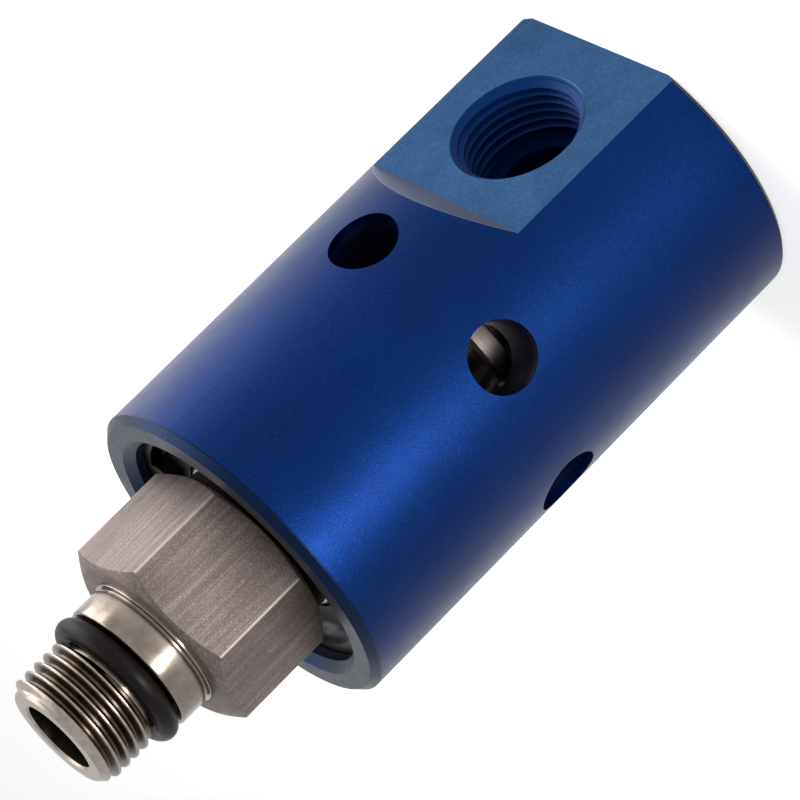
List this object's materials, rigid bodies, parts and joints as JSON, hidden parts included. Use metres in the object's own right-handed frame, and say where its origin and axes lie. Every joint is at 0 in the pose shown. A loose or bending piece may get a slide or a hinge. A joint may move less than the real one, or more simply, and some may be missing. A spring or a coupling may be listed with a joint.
{
  "type": "hydraulic rotary union",
  "caption": "Single-passage rotary union: vented cylindrical housing with a radial port, and a turning hexagon rotor with an O-ring sealed threaded end.",
  "frame": {"origin": "centre of the housing's closed rear face", "axes": "+Z along the rotation axis towards the rotor's threaded end, +X out of the supply port"},
  "size_m": [0.044, 0.044, 0.1032],
  "materials": {
    "anodised_housing": "bead-blasted and blue anodised, satin",
    "stainless_rotor": "fine turned and milled stainless",
    "o_ring_rubber": "smooth black nitrile rubber",
    "spring_steel": "dark phosphated spring steel",
    "turned_steel": "plain turned steel",
    "carrier_steel": "turned stainless",
    "bearing_steel": "ground and polished bearing steel",
    "shield_steel": "pressed sheet steel",
    "cage_brass": "machined brass",
    "seal_carbide": "lapped dark seal material"
  },
  "bodies": {
    "housing": {"housing": "anodised_housing", "retaining_ring": "spring_steel", "anti_rotation_pins": "turned_steel", "outer_spacer": "turned_steel", "preload_spring": "spring_steel", "compression_spring": "spring_steel", "front_bearing_outer_race": "bearing_steel", "front_bearing_shields": "shield_steel", "rear_bearing_outer_race": "bearing_steel", "rear_bearing_shields": "shield_steel"},
    "rotor": {"rotor": "stainless_rotor", "pilot_o_ring": "o_ring_rubber", "front_bearing_inner_race": "bearing_steel", "rear_bearing_inner_race": "bearing_steel", "inner_spacer": "turned_steel", "shaft_circlip": "spring_steel", "rotor_seal_ring": "seal_carbide"},
    "front_cage": {"front_bearing_cage": "cage_brass", "front_bearing_balls": "bearing_steel"},
    "rear_cage": {"rear_bearing_cage": "cage_brass", "rear_bearing_balls": "bearing_steel"},
    "floating_seal": {"floating_seal_carrier": "carrier_steel", "carrier_seal_ring": "seal_carbide", "carrier_o_ring": "o_ring_rubber"}
  },
  "joints": [
    {"name": "rotor_turn", "type": "hinge", "parent": "housing", "child": "rotor", "pos_m": [0, 0, 0.064], "axis": [0, 0, 1], "continuous": true},
    {"name": "front_cage_turn", "type": "hinge", "parent": "housing", "child": "front_cage", "pos_m": [0, 0, 0.0641], "axis": [0, 0, 1], "continuous": true},
    {"name": "rear_cage_turn", "type": "hinge", "parent": "housing", "child": "rear_cage", "pos_m": [0, 0, 0.0521], "axis": [0, 0, 1], "continuous": true},
    {"name": "seal_float", "type": "slide", "parent": "housing", "child": "floating_seal", "axis": [0, 0, 1], "range_m": [-0.001, 0], "stiffness_N_per_m": 4000, "springref_m": 0.004, "deforming": ["compression_spring"]}
  ],
  "couplings": [
    {"joint": "front_cage_turn", "follows": "rotor_turn", "ratio": 0.4085},
    {"joint": "rear_cage_turn", "follows": "rotor_turn", "ratio": 0.4085}
  ]
}
